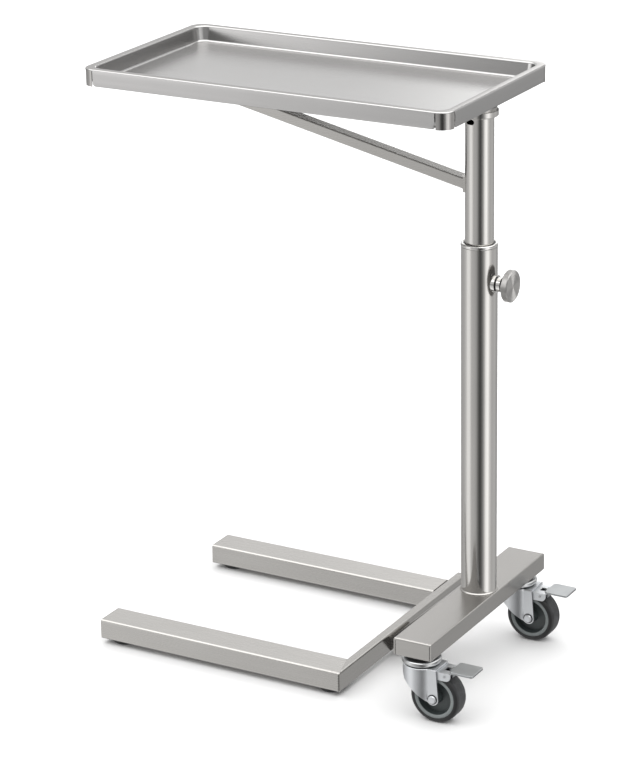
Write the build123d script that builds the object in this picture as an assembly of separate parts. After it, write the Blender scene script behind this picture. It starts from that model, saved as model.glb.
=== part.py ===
"""Instrument stand with a removable tray on a height-adjustable mast, in millimetres.

The model is drawn about the axis of the upright column, with the floor at z = 0. The tray
and the two long legs reach out towards -X, and the clamp knob points towards +X. Each piece
is written as its own file, moved so that the origin is on the floor under the middle of the
whole outline.
"""
import os
from math import cos, pi, radians, sin

from build123d import *

os.makedirs("parts", exist_ok=True)

# Fits and gaps
RUNNING_FIT = 0.06      # radial play of a shaft in its bore
SLIDE_FIT = 0.08        # radial play of the mast in its nylon guides
LOOSE_FIT = 0.3         # play between pieces that only lie side by side
SEAM = 0.9              # open seam at a folded corner
THREAD_FIT = 0.02       # radial play of a nut on its bolt
EDGE_BREAK = 0.8        # chamfer or rounding of a turned or pressed edge

# Feet and lower frame
FOOT_DIAMETER = 34.0
FOOT_HEIGHT = 8.0
FOOT_CHAMFER = 1.2
FOOT_INSET = 26.0       # from the end of a leg to the middle of its foot
FOOT_SCREW_DIAMETER = 5.0
FOOT_SCREW_LENGTH = 14.0
LEG_LENGTH = 402.0
LEG_WIDTH = 50.0
LEG_HEIGHT = 30.0
LEG_SPREAD = 316.0      # between the middle lines of the two legs
LEG_SETBACK = 128.0     # from the column's axis to the outer face of the cross tube
FRAME_WALL = 1.5
FRAME_CORNER = 3.0
END_PLATE = 2.0
CROSS_TUBE_WIDTH = 15.0
CROSS_TUBE_OVERHANG = 30.0   # past the back leg

# Raised beam over the casters
CASTER_HEIGHT = 99.0    # floor to the underside of the beam
BEAM_WIDTH = 58.0
BEAM_LENGTH = 362.0
BEAM_HEIGHT = 25.0
BEAM_SHIFT = -24.0      # the beam's middle lies this far in Y from the column's axis
BEAM_SHEET = 2.0
BEAM_BEND = 2.4
CORE_WIDTH = 50.0
CORE_HEIGHT = 20.0
CORE_WALL = 3.0
CORE_INSET = 6.0        # the core ends this far inside the beam's end walls
ARM_WIDTH = 60.0        # sloping arm between the beam and the cross tube
ARM_INSET = 2.0         # below the beam's top, and above the cross tube's underside
ARM_FOOT_HEIGHT = 20.0

# Column and mast
COLUMN_DIAMETER = 50.8
COLUMN_WALL = 2.0
COLUMN_LENGTH = 512.0   # shown above the beam, without its lip
LIP_HEIGHT = 5.2
LIP_PROUD = 0.6
LIP_WALL = 4.2
BUSH_LENGTH = 38.0
BUSH_SUNK = 0.8         # of the bush's collar below the lip's top
WELD_RING_DIAMETER = 54.0
WELD_RING_HEIGHT = 2.0
MAST_DIAMETER = 40.0
MAST_WALL = 2.0
MAST_SHOWN = 187.1      # from the top of the lip to the top of the mast tube
MAST_INSERTED = 401.0   # from the top of the lip down to the mast's lower end
GUIDE_LENGTH = 22.0
GUIDE_CHAMFER = 1.0
PLUG_FLANGE = 4.0
PLUG_LENGTH = 15.0
STOP_RING_HEIGHT = 4.0
STOP_RING_WALL = 2.6
SLOT_LENGTH = 14.0
SLOT_HEIGHT = 7.8
SLOT_DROP = 14.0        # from the mast's top to the middle of the slot
SLOT_ANGLE = 254.0      # seen from above, counter-clockwise from +X

# Clamp
CLAMP_DROP = 57.0       # from the top of the lip to the clamp's axis
BOSS_DIAMETER = 20.6
BOSS_LENGTH = 12.0
BOSS_FLANGE_DIAMETER = 25.0
BOSS_FLANGE = 2.4
BOSS_GROOVE = 2.0
BOSS_GROOVE_DEPTH = 1.6
SCREW_DIAMETER = 10.0
CLAMP_GAP = 2.0         # between the boss and the knob's neck when clamped
PAD_LENGTH = 7.0
KNOB_DIAMETER = 45.0
KNOB_THICKNESS = 9.6
KNOB_NECK = 3.2
KNOB_NECK_DIAMETER = 19.0
KNOB_CHAMFER = 1.2
KNOB_BORE_DEPTH = 4.6
KNOB_RIM = 3.0          # flat rim round the dished face
KNOB_DISH = 0.8         # depth of the dish at its middle

# Carrier under the tray
COLLAR_DIAMETER = 52.0
COLLAR_HEIGHT = 8.1
COLLAR_CHAMFER = 1.2
HEAD_DIAMETER = 48.0
HEAD_THICKNESS = 5.0
ARM_BAR_WIDTH = 30.0
ARM_BAR_HEIGHT = 20.0
ARM_BAR_REACH = 480.0   # from the column's axis
ARM_BAR_WALL = 1.5
ARM_BAR_CORNER = 2.0
RING_LENGTH = 520.0
RING_WIDTH = 252.0
RING_BAR = 20.0
RING_THICKNESS = 5.0
RING_CORNER = 18.0
RING_INSET = 12.0       # from the tray's outer edge on the mast side
BRACE_WIDTH = 20.0
BRACE_HEIGHT = 15.0
BRACE_WALL = 1.5
BRACE_CORNER = 1.6
BRACE_DROP = 112.1      # from the mast's top to the brace's lower edge at the mast
BRACE_SLOPE = 12.4      # degrees
SADDLE_THICKNESS = 3.0
SADDLE_WIDTH = 26.0
SADDLE_HEIGHT = 22.0

# Tray
TRAY_LENGTH = 574.0
TRAY_WIDTH = 312.0
TRAY_OVERHANG = 32.0    # from the column's axis to the tray's edge on the mast side
TRAY_SHEET = 1.2
TRAY_BEND = 2.0
APRON_DEPTH = 24.0
HEM_WIDTH = 6.0
APRON_CORNER = 4.0      # rounding of an apron's lower ends
TRAY_CORNER = 20.0
RIM_WIDTH = 12.0
BASIN_DEPTH = 22.5
BASIN_CORNER = 16.0
BASIN_DRAFT = 9.0       # degrees
BASIN_FLOOR_RADIUS = 5.0
BASIN_LIP_RADIUS = 1.0  # between the flat rim and the basin's wall
CAP_RECESS = 0.6
CAP_DROP = 0.5          # the corner caps hang this far below the aprons
TRAY_REST_GAP = 0.2

# Casters
CASTER_INSET = 28.0     # from the beam's end to the swivel axis
CASTER_TRAIL = 26.0
WHEEL_DIAMETER = 75.0
WHEEL_WIDTH = 28.0
TYRE_SHOULDER = 5.5
RIM_OUTER_DIAMETER = 61.0
RIM_INNER_DIAMETER = 50.0
RIM_RECESS = 0.8        # the hub's rim lies this far inside the tyre's side
HUB_WEB = 10.0
HUB_BOSS_DIAMETER = 20.0
HUB_DRAFT = 1.6
HUB_SIDE_GAP = 1.3      # between the hub and the fork
SLEEVE_DIAMETER = 12.0
AXLE_DIAMETER = 8.0
AXLE_HEAD_DIAMETER = 12.0
AXLE_HEAD_HEIGHT = 3.0
AXLE_NUT_WIDTH = 13.0
AXLE_NUT_HEIGHT = 5.0
AXLE_END = 1.5          # of the axle shown past its nut
FORK_SHEET = 2.6
FORK_GAP = 2.4          # between the wheel's side and the fork's leg
FORK_CROWN_DIAMETER = 53.0
FORK_CROWN_ROUNDING = 2.0
FORK_BOSS_RADIUS = 8.8
FORK_FRONT_REACH = 31.0
FORK_SIDE_DROP = 5.0    # height of the crown's upright wall
FORK_BACK_RUN = 9.0     # the back edge leans in this far below the upright wall
FORK_BACK_DROP = 15.0   # over this height
FORK_KNEE_RADIUS = 14.0
FORK_BOSS_ANGLE = 224.0 # where the back edge meets the axle boss, in degrees from +X
MOUNT_PLATE = 3.0
RACE_DIAMETER = 56.0
RACE_RIM_HEIGHT = 8.0
RACE_RIM_WIDTH = 5.0
RACE_ROUNDING = 3.4     # of the rim's outer edges
RACE_WEB = 2.0
RACE_NECK_DIAMETER = 38.0
RACE_GAP = 7.0          # between the race's rim and the beam
CROWN_GAP = 1.4         # between the race's rim and the fork's crown
BALL_DIAMETER = 3.0
BALL_COUNT = 10
BALL_PITCH_DIAMETER = 37.0
BALL_PLAY = 0.2
KINGPIN_DIAMETER = 10.0
KINGPIN_HEAD_DIAMETER = 18.0
KINGPIN_HEAD = 3.8

# Brake
BRAKE_SHEET = 1.6
BRAKE_START = 22.0      # from the swivel axis to the start of the bracket
BRAKE_REACH = 52.0      # and to its end
BRAKE_TONGUE = 8.0      # of the bracket's web under the crown
BRAKE_FLANGE_HEIGHT = 12.0
BRAKE_WEB_DROP = 3.0    # from the crown's top to the top of the bracket's web
BRAKE_PIN_DIAMETER = 3.6
BRAKE_PIN_X = 43.0      # from the swivel axis
BRAKE_PIN_DROP = 8.2    # from the crown's top to the middle of the pin
BRAKE_PIN_PROUD = 0.9   # of the pin past the bracket's sides
BRAKE_WINDOW = 13.0
BRAKE_WINDOW_MARGIN = 1.2    # of web left past the window
BRAKE_WINDOW_PLAY = 1.2      # on each side of the lever in the window
PEDAL_REACH = 87.0      # from the swivel axis to the pedal's tip
PEDAL_LENGTH = 36.0
PEDAL_WIDTH = 36.0
PEDAL_SHEET = 1.8
PEDAL_LIP = 2.8
PEDAL_RISE = 1.8        # of the pedal's top above the crown's top
PEDAL_CORNER = 4.0
LEVER_WIDTH = 8.0
LEVER_BOSS_WALL = 1.3   # round the brake pin
LEVER_THROAT_GAP = 1.9  # between the lever's throat and the window's far edge
LEVER_THROAT_RISE = 1.8 # of the throat's outer corner above the bracket
LEVER_ROOT = (-3.5, 1.5)     # where the lever leaves the pedal, from the pedal's inner edge
LEVER_HEEL = (3.0, 2.2)      # of the lever's underside, back from and above the cam's tip
CAM_REACH = 7.0         # from the brake pin to the cam's tip
SHOE_GAP = 2.9          # between the brake's cam and the tyre when released

# Levels and positions that follow from the sizes above
leg_top = FOOT_HEIGHT + LEG_HEIGHT
leg_middle = FOOT_HEIGHT + LEG_HEIGHT / 2
leg_y = LEG_SPREAD / 2
cross_outer_x = -LEG_SETBACK
cross_inner_x = cross_outer_x - CROSS_TUBE_WIDTH
leg_tip_x = cross_outer_x - LEG_LENGTH
tip_foot_x = leg_tip_x + FOOT_INSET
corner_foot_x = cross_outer_x - FOOT_INSET - LOOSE_FIT
foot_screw_bore = FOOT_SCREW_DIAMETER / 2 + RUNNING_FIT
cross_front_y = -leg_y - LEG_WIDTH / 2
cross_back_y = leg_y + LEG_WIDTH / 2 + CROSS_TUBE_OVERHANG
beam_top = CASTER_HEIGHT + BEAM_HEIGHT
core_top = beam_top - BEAM_SHEET
core_floor = core_top - CORE_HEIGHT + CORE_WALL
column_radius = COLUMN_DIAMETER / 2
column_bore = column_radius - COLUMN_WALL
column_top = beam_top + COLUMN_LENGTH
lip_top = column_top + LIP_HEIGHT
lip_outer = column_radius + LIP_PROUD
lip_inner = lip_outer - LIP_WALL
mast_radius = MAST_DIAMETER / 2
mast_bore = mast_radius - MAST_WALL
mast_top = lip_top + MAST_SHOWN
mast_bottom = lip_top - MAST_INSERTED
guide_bore = mast_radius + SLIDE_FIT
guide_bottom = mast_bottom + LOOSE_FIT
guide_top = guide_bottom + GUIDE_LENGTH
clamp_z = lip_top - CLAMP_DROP
clamp_bore = SCREW_DIAMETER / 2 + RUNNING_FIT
boss_end = column_radius + BOSS_LENGTH
knob_start = boss_end + CLAMP_GAP
knob_disc_start = knob_start + KNOB_NECK
knob_end = knob_disc_start + KNOB_THICKNESS
pad_end = mast_radius + PAD_LENGTH
head_top = mast_top + HEAD_THICKNESS
ring_top = head_top + RING_THICKNESS
floor_underside = ring_top + TRAY_REST_GAP
rim_top = floor_underside + TRAY_SHEET + BASIN_DEPTH
apron_bottom = rim_top - APRON_DEPTH
arm_bar_bottom = head_top - ARM_BAR_HEIGHT
brace_foot_z = mast_top - BRACE_DROP
tray_x = TRAY_OVERHANG - TRAY_LENGTH / 2
ring_x = TRAY_OVERHANG - RING_INSET - RING_LENGTH / 2
wheel_radius = WHEEL_DIAMETER / 2
fork_inner = WHEEL_WIDTH / 2 + FORK_GAP
fork_outer = fork_inner + FORK_SHEET
race_rim_top = CASTER_HEIGHT - RACE_GAP
race_rim_bottom = race_rim_top - RACE_RIM_HEIGHT
crown_top = race_rim_bottom - CROWN_GAP
crown_ceiling = crown_top - FORK_SHEET
kingpin_bore = KINGPIN_DIAMETER / 2 + RUNNING_FIT
race_web_bottom = crown_top + BALL_DIAMETER + 2 * BALL_PLAY
brake_pin_z = crown_top - BRAKE_PIN_DROP
brake_pin_bore = BRAKE_PIN_DIAMETER / 2 + RUNNING_FIT
bracket_top = crown_top - BRAKE_WEB_DROP
window_end = BRAKE_REACH - BRAKE_WINDOW_MARGIN
pedal_top = crown_top + PEDAL_RISE
swivel_ys = {
    "front_caster": BEAM_SHIFT - BEAM_LENGTH / 2 + CASTER_INSET,
    "back_caster": BEAM_SHIFT + BEAM_LENGTH / 2 - CASTER_INSET,
}

# The origin lies on the floor under the middle of the outline
outline_left = TRAY_OVERHANG - TRAY_LENGTH
outline_right = PEDAL_REACH
outline_front = min(BEAM_SHIFT - BEAM_LENGTH / 2, cross_front_y)
outline_back = max(BEAM_SHIFT + BEAM_LENGTH / 2, cross_back_y)
origin_shift = Pos(-(outline_left + outline_right) / 2, -(outline_front + outline_back) / 2, 0)


def block(x0, x1, y0, y1, z0, z1):
    """A box between two opposite corners."""
    middle = Pos((x0 + x1) / 2, (y0 + y1) / 2, (z0 + z1) / 2)
    return middle * Box(x1 - x0, y1 - y0, z1 - z0)


def rod(radius, z0, z1, x=0.0, y=0.0):
    """An upright cylinder."""
    return Pos(x, y, (z0 + z1) / 2) * Cylinder(radius, z1 - z0)


def pipe(outer, inner, z0, z1, x=0.0, y=0.0):
    """An upright tube."""
    return rod(outer, z0, z1, x, y) - rod(inner, z0 - 1, z1 + 1, x, y)


def rod_x(radius, x0, x1, z):
    """A cylinder along X, on the column's middle plane."""
    return Pos((x0 + x1) / 2, 0, z) * Rot(0, 90, 0) * Cylinder(radius, x1 - x0)


def rod_y(radius, y0, y1, x, z):
    """A cylinder along Y."""
    return Pos(x, (y0 + y1) / 2, z) * Rot(90, 0, 0) * Cylinder(radius, y1 - y0)


def turned(points, axis=Axis.Z):
    """A solid of revolution from a closed outline of (radius, height) points."""
    outline = make_face(Polyline(*points, close=True))
    return revolve(Plane.XZ * outline, axis)


def box_section(width, height, wall, corner):
    """The cross-section of a rectangular tube with rounded corners."""
    inner_corner = max(corner - wall, 0.4)
    outer = RectangleRounded(width, height, corner)
    return outer - RectangleRounded(width - 2 * wall, height - 2 * wall, inner_corner)


def leg(side):
    """A long leg: front (-1), mitred to the cross tube, or back (+1), butted against it."""
    start = leg_tip_x + END_PLATE
    section = Plane.YZ * box_section(LEG_WIDTH, LEG_HEIGHT, FRAME_WALL, FRAME_CORNER)
    end = cross_outer_x if side < 0 else cross_inner_x
    tube = Pos(start, side * leg_y, leg_middle) * extrude(section, end - start)
    if side < 0:
        tube -= mitre_prism(1) + corner_rounding()
    return tube - rod(foot_screw_bore, 0, leg_middle, tip_foot_x, side * leg_y) - rod(
        foot_screw_bore, 0, leg_middle, corner_foot_x, side * leg_y)


def mitre_prism(side):
    """The space on the column's side (+1) or the leg's side (-1) of the mitre line."""
    outer = Vector(cross_outer_x, cross_front_y, 0)
    inner = Vector(cross_inner_x, cross_front_y + LEG_WIDTH, 0)
    along = (inner - outer).normalized() * LEG_LENGTH
    away = Vector(along.Y, -along.X, 0) * side
    start, end = outer - along, inner + along
    face = make_face(Polyline(start, end, end + away, start + away, close=True))
    return extrude(face, leg_top + FOOT_HEIGHT, dir=(0, 0, 1))


def corner_rounding():
    """What the grinder takes off the outer upright edge of the mitre."""
    x, y = cross_outer_x - FRAME_CORNER, cross_front_y + FRAME_CORNER
    edge = block(x, cross_outer_x + 1, cross_front_y - 1, y, 0, leg_top + 1)
    return edge - rod(FRAME_CORNER, -1, leg_top + 2, x, y)


def cross_tube():
    """The flat cross tube that joins both legs and runs on past the back one."""
    section = Plane.XZ * box_section(CROSS_TUBE_WIDTH, LEG_HEIGHT, FRAME_WALL, FRAME_CORNER)
    end = cross_back_y - END_PLATE
    middle_x = cross_outer_x - CROSS_TUBE_WIDTH / 2
    tube = Pos(middle_x, cross_front_y, leg_middle) * extrude(section, -(end - cross_front_y))
    return tube - mitre_prism(-1) - corner_rounding()


def end_plate(width, x, y, turn):
    """A welded closing plate with the tube's rounded outline."""
    outline = RectangleRounded(width, LEG_HEIGHT, FRAME_CORNER)
    return Pos(x, y, leg_middle) * Rot(0, 0, turn) * extrude(Plane.YZ * outline, END_PLATE)


def foot(x, side):
    """A rubber foot with a chamfered tread and a recess for its screw."""
    radius = FOOT_DIAMETER / 2
    body = rod(radius, 0, FOOT_HEIGHT, x, side * leg_y)
    body = chamfer(body.edges().group_by(Axis.Z)[0], FOOT_CHAMFER)
    body -= rod(FOOT_SCREW_DIAMETER, -1, FOOT_HEIGHT / 2, x, side * leg_y)
    return body - rod(foot_screw_bore, -1, FOOT_HEIGHT + 1, x, side * leg_y)


def foot_screw(x, side):
    """A pan-head screw, up through a foot into the leg."""
    seat = FOOT_HEIGHT / 2
    shank = rod(FOOT_SCREW_DIAMETER / 2, seat, seat + FOOT_SCREW_LENGTH, x, side * leg_y)
    head_radius = FOOT_SCREW_DIAMETER - LOOSE_FIT
    return shank + rod(head_radius, seat - FOOT_SCREW_DIAMETER / 2, seat, x, side * leg_y)


def beam_shell():
    """The folded sheet cover of the beam, open below, with open seams at its corners."""
    half_x, half_y = BEAM_WIDTH / 2, BEAM_LENGTH / 2
    outer = Pos(0, BEAM_SHIFT, 0) * block(-half_x, half_x, -half_y, half_y, CASTER_HEIGHT, beam_top)
    outer = fillet(outer.edges().group_by(Axis.Z)[-1], BEAM_BEND)
    inside_x, inside_y = half_x - BEAM_SHEET, half_y - BEAM_SHEET
    inside = block(-inside_x, inside_x, -inside_y, inside_y, CASTER_HEIGHT - 1, core_top)
    shell = outer - Pos(0, BEAM_SHIFT, 0) * inside
    for side_x in (-1, 1):
        for side_y in (-1, 1):
            seam_x = side_x * (inside_x - SEAM / 2)
            seam_y = BEAM_SHIFT + side_y * half_y
            seam_height = core_top - CASTER_HEIGHT
            slot = Box(SEAM, 2 * BEAM_SHEET + 2, seam_height)
            shell -= Pos(seam_x, seam_y, CASTER_HEIGHT + seam_height / 2 - 1) * slot
    return shell - rod(column_radius, core_top - 1, beam_top + 1)


def beam_core():
    """The heavy rectangular tube inside the beam, which carries the column."""
    length = BEAM_LENGTH - 2 * (BEAM_SHEET + CORE_INSET)
    section = Plane.XZ * box_section(CORE_WIDTH, CORE_HEIGHT, CORE_WALL, CORE_WALL + 1)
    start = BEAM_SHIFT + length / 2
    core = Pos(0, start, core_top - CORE_HEIGHT / 2) * extrude(section, length)
    for y in swivel_ys.values():
        core -= rod(kingpin_bore, core_floor - CORE_WALL - 1, core_floor + 1, 0, y)
    return core - rod(column_radius, core_floor, core_top + 1)


def link_arm():
    """The sloping box that carries the beam's load down to the cross tube."""
    beam_face = -BEAM_WIDTH / 2
    foot_z = FOOT_HEIGHT + ARM_INSET
    outline = make_face(Polyline(
        (beam_face, beam_top - ARM_INSET), (beam_face, CASTER_HEIGHT),
        (cross_outer_x, foot_z), (cross_outer_x, foot_z + ARM_FOOT_HEIGHT), close=True))
    outer = extrude(Plane.XZ * outline, ARM_WIDTH / 2, both=True)
    inner_face = Plane.XZ * offset(outline, -FRAME_WALL, kind=Kind.INTERSECTION)
    return outer - extrude(inner_face, ARM_WIDTH / 2 - FRAME_WALL, both=True)


def column_tube():
    """The fixed outer tube of the column, with the hole for the clamp."""
    tube = pipe(column_radius, column_bore, core_floor, column_top)
    return tube - rod_x(clamp_bore, column_bore - 4, column_radius + 1, clamp_z)


def column_weld_ring():
    """The rounded weld bead around the foot of the column."""
    outer = WELD_RING_DIAMETER / 2
    ring = pipe(outer, column_radius, beam_top, beam_top + WELD_RING_HEIGHT)
    top_edges = ring.edges().filter_by(GeomType.CIRCLE).group_by(Axis.Z)[-1]
    return chamfer(top_edges.sort_by(SortBy.RADIUS)[-1:], WELD_RING_HEIGHT * 0.7,
                   (outer - column_radius) * 0.8)


def column_lip():
    """The polished ring that closes the top of the column."""
    ring = pipe(lip_outer, lip_inner, column_top, lip_top)
    return fillet(ring.edges().filter_by(GeomType.CIRCLE), LIP_WALL * 0.36)


def upper_bush():
    """The nylon bush in the column's mouth, with a collar inside the lip."""
    bottom = column_top - BUSH_LENGTH
    return turned([
        (guide_bore, bottom), (column_bore, bottom), (column_bore, column_top),
        (lip_inner, column_top), (lip_inner, lip_top - BUSH_SUNK), (guide_bore, lip_top - BUSH_SUNK)])


def mast_tube():
    """The sliding inner tube, with the oblong hole under the tray."""
    tube = pipe(mast_radius, mast_bore, mast_bottom, mast_top)
    cutter = extrude(Plane.YZ * SlotOverall(SLOT_LENGTH, SLOT_HEIGHT), mast_radius + 2)
    return tube - Pos(0, 0, mast_top - SLOT_DROP) * Rot(0, 0, SLOT_ANGLE) * cutter


def mast_plug():
    """The plug in the mast's lower end, with the flange that carries the guide ring."""
    flange = rod(mast_radius + STOP_RING_WALL, mast_bottom - PLUG_FLANGE, mast_bottom)
    return flange + rod(mast_bore - RUNNING_FIT, mast_bottom, mast_bottom + PLUG_LENGTH)


def stop_ring():
    """The ring on the mast that keeps the guide ring from riding up."""
    bottom = guide_top + LOOSE_FIT
    return pipe(mast_radius + STOP_RING_WALL, mast_radius, bottom, bottom + STOP_RING_HEIGHT)


def guide_ring():
    """The nylon ring that slides in the column and lets the mast turn in it."""
    ring = pipe(column_bore - SLIDE_FIT, guide_bore, guide_bottom, guide_top)
    outer_edges = ring.edges().filter_by(GeomType.CIRCLE).sort_by(SortBy.RADIUS)[-2:]
    return chamfer(outer_edges, GUIDE_CHAMFER)


def clamp_boss():
    """The threaded boss welded to the column, with a flange and a groove."""
    radius, flange_end = BOSS_DIAMETER / 2, column_radius + BOSS_FLANGE
    boss = rod_x(radius, mast_radius, boss_end, clamp_z)
    boss += rod_x(BOSS_FLANGE_DIAMETER / 2, mast_radius, flange_end, clamp_z)
    groove_x = flange_end + BOSS_GROOVE
    groove = rod_x(BOSS_FLANGE_DIAMETER, flange_end, groove_x, clamp_z)
    boss -= groove - rod_x(radius - BOSS_GROOVE_DEPTH, flange_end - 1, groove_x + 1, clamp_z)
    boss = chamfer(boss.edges().group_by(Axis.X)[-1], EDGE_BREAK)
    boss -= rod(column_radius, clamp_z - BOSS_FLANGE_DIAMETER, clamp_z + BOSS_FLANGE_DIAMETER)
    return boss - rod_x(clamp_bore, mast_radius, boss_end + 1, clamp_z)


def clamp_pad():
    """The brass plug at the screw's tip, hollowed to the mast."""
    pad = rod_x(SCREW_DIAMETER / 2, mast_radius - 2, pad_end, clamp_z)
    return pad - rod(mast_radius + RUNNING_FIT, clamp_z - SCREW_DIAMETER, clamp_z + SCREW_DIAMETER)


def clamp_screw():
    """The threaded stud of the knob."""
    end = knob_disc_start + KNOB_BORE_DEPTH
    stud = rod_x(SCREW_DIAMETER / 2, pad_end + RUNNING_FIT, end, clamp_z)
    return chamfer(stud.edges().group_by(Axis.X)[0], EDGE_BREAK)


def clamp_knob():
    """The turned disc knob with a short neck and a shallow dished face."""
    disc = rod_x(KNOB_DIAMETER / 2, knob_disc_start, knob_end, clamp_z)
    disc = chamfer(disc.edges().filter_by(GeomType.CIRCLE), KNOB_CHAMFER)
    dish = turned([(0, 0), (KNOB_DIAMETER / 2 - KNOB_RIM, 0), (0, -KNOB_DISH)])
    disc -= Pos(knob_end, 0, clamp_z) * Rot(0, 90, 0) * dish
    knob = disc + rod_x(KNOB_NECK_DIAMETER / 2, knob_start, knob_disc_start + 1, clamp_z)
    bore_end = knob_disc_start + KNOB_BORE_DEPTH
    return knob - rod_x(SCREW_DIAMETER / 2, knob_start - 1, bore_end, clamp_z)


def mast_collar():
    """The collar round the mast's top."""
    ring = pipe(COLLAR_DIAMETER / 2, mast_radius, mast_top - COLLAR_HEIGHT, mast_top)
    lower = ring.edges().filter_by(GeomType.CIRCLE).group_by(Axis.Z)[0]
    return chamfer(lower.sort_by(SortBy.RADIUS)[-1:], COLLAR_CHAMFER)


def mast_head():
    """The round plate that closes the mast and carries the support ring."""
    return rod(HEAD_DIAMETER / 2, mast_top, head_top)


def tray_arm():
    """The rectangular tube that runs out from the collar under the support ring."""
    section = Plane.YZ * box_section(ARM_BAR_WIDTH, ARM_BAR_HEIGHT, ARM_BAR_WALL, ARM_BAR_CORNER)
    tube = Pos(-ARM_BAR_REACH, 0, head_top - ARM_BAR_HEIGHT / 2) * extrude(section, ARM_BAR_REACH)
    tube -= rod(COLLAR_DIAMETER / 2, mast_top - COLLAR_HEIGHT, head_top + 1)
    return tube - rod(mast_radius, arm_bar_bottom - 1, head_top)


def brace():
    """The slanting tube from the mast up to the arm, cut to fit both."""
    slope = radians(BRACE_SLOPE)
    length = (ARM_BAR_REACH - mast_radius) / cos(slope)
    section = Plane.YZ * box_section(BRACE_WIDTH, BRACE_HEIGHT, BRACE_WALL, BRACE_CORNER)
    lift = BRACE_HEIGHT / 2 / cos(slope)
    start = Pos(-mast_radius, 0, brace_foot_z + lift)
    tube = start * Rot(0, BRACE_SLOPE, 0) * extrude(section, -length)
    tube += start * Rot(0, BRACE_SLOPE, 0) * extrude(section, mast_radius)
    tube -= rod(mast_radius + SADDLE_THICKNESS, mast_bottom, mast_top)
    tube -= block(-ARM_BAR_REACH, mast_radius, -BRACE_WIDTH, BRACE_WIDTH, arm_bar_bottom, rim_top)
    tube -= block(0, BRACE_WIDTH * 3, -BRACE_WIDTH, BRACE_WIDTH, mast_bottom, mast_top)
    return tube - block(-2 * ARM_BAR_REACH, -ARM_BAR_REACH, -BRACE_WIDTH, BRACE_WIDTH,
                        mast_bottom, rim_top)


def brace_saddle():
    """The small plate, bent round the mast, on which the brace is welded."""
    slope_rise = BRACE_HEIGHT / cos(radians(BRACE_SLOPE)) / 2
    middle_z = brace_foot_z + slope_rise
    outer = mast_radius + SADDLE_THICKNESS
    shell = pipe(outer, mast_radius, middle_z - SADDLE_HEIGHT / 2, middle_z + SADDLE_HEIGHT / 2)
    window = block(-outer - 1, 0, -SADDLE_WIDTH / 2, SADDLE_WIDTH / 2, mast_bottom, mast_top)
    return shell & window


def support_ring():
    """The flat ring under the tray's basin, with a bar across its middle."""
    outer = RectangleRounded(RING_LENGTH, RING_WIDTH, RING_CORNER)
    window_x = RING_LENGTH - 2 * RING_BAR
    window_y = RING_WIDTH - 2 * RING_BAR
    flat = outer - RectangleRounded(window_x, window_y, RING_CORNER / 2)
    flat += Rectangle(window_x + 2, ARM_BAR_WIDTH)
    return Pos(ring_x, 0, head_top) * extrude(flat, RING_THICKNESS)


def tray_pan():
    """The tray: a drawn basin, a flat rim and four folded aprons with hems."""
    lid = RectangleRounded(TRAY_LENGTH, TRAY_WIDTH, TRAY_CORNER)
    outer = Pos(0, 0, apron_bottom) * extrude(lid, APRON_DEPTH)
    outer = fillet(outer.edges().group_by(Axis.Z)[-1], TRAY_BEND)
    inner_lid = RectangleRounded(TRAY_LENGTH - 2 * TRAY_SHEET, TRAY_WIDTH - 2 * TRAY_SHEET,
                                 TRAY_CORNER - TRAY_SHEET)
    inner = Pos(0, 0, apron_bottom - 1) * extrude(inner_lid, APRON_DEPTH + 1 - TRAY_SHEET)
    hollow = RectangleRounded(TRAY_LENGTH - 2 * HEM_WIDTH, TRAY_WIDTH - 2 * HEM_WIDTH,
                              TRAY_CORNER - HEM_WIDTH)
    hem = Pos(0, 0, apron_bottom) * extrude(lid - hollow, TRAY_SHEET)
    pan = outer - inner + hem
    for side_x in (-1, 1):
        for side_y in (-1, 1):
            corner_x = side_x * (TRAY_LENGTH / 2 - TRAY_CORNER / 2)
            corner_y = side_y * (TRAY_WIDTH / 2 - TRAY_CORNER / 2)
            notch = Box(TRAY_CORNER, TRAY_CORNER, APRON_DEPTH)
            pan -= Pos(corner_x, corner_y, rim_top - TRAY_BEND - APRON_DEPTH / 2) * notch
            pan -= apron_corner(side_x, side_y)
    mouth = RectangleRounded(TRAY_LENGTH - 2 * RIM_WIDTH, TRAY_WIDTH - 2 * RIM_WIDTH, BASIN_CORNER)
    basin = Pos(0, 0, rim_top) * extrude(mouth, -BASIN_DEPTH, taper=BASIN_DRAFT)
    basin = fillet(basin.edges().group_by(Axis.Z)[0], BASIN_FLOOR_RADIUS)
    shell_mouth = offset(mouth, TRAY_SHEET)
    depth = BASIN_DEPTH + TRAY_SHEET
    shell = Pos(0, 0, rim_top) * extrude(shell_mouth, -depth, taper=BASIN_DRAFT)
    shell = fillet(shell.edges().group_by(Axis.Z)[0], BASIN_FLOOR_RADIUS + TRAY_SHEET)
    tray = pan + shell - basin
    lip = tray.edges().group_by(Axis.Z)[-1]
    tray = fillet(lip, BASIN_LIP_RADIUS)
    return Pos(tray_x, 0, 0) * tray


def apron_corner(side_x, side_y):
    """What is cut off the lower ends of the two aprons beside one corner of the tray."""
    end_x, end_y = TRAY_LENGTH / 2 - TRAY_CORNER, TRAY_WIDTH / 2 - TRAY_CORNER
    reach, low = HEM_WIDTH + 1, apron_bottom + APRON_CORNER
    cut_x = block(end_x - APRON_CORNER, end_x, -reach, reach, apron_bottom, low)
    cut_x -= rod_y(APRON_CORNER, -reach, reach, end_x - APRON_CORNER, low)
    cut_y = block(-reach, reach, end_y - APRON_CORNER, end_y, apron_bottom, low)
    cut_y -= Pos(0, end_y - APRON_CORNER, low) * Rot(0, 90, 0) * Cylinder(APRON_CORNER, 2 * reach)
    cut = Pos(0, TRAY_WIDTH / 2, 0) * cut_x + Pos(TRAY_LENGTH / 2, 0, 0) * cut_y
    if side_x < 0:
        cut = mirror(cut, Plane.YZ)
    return mirror(cut, Plane.XZ) if side_y < 0 else cut


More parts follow.
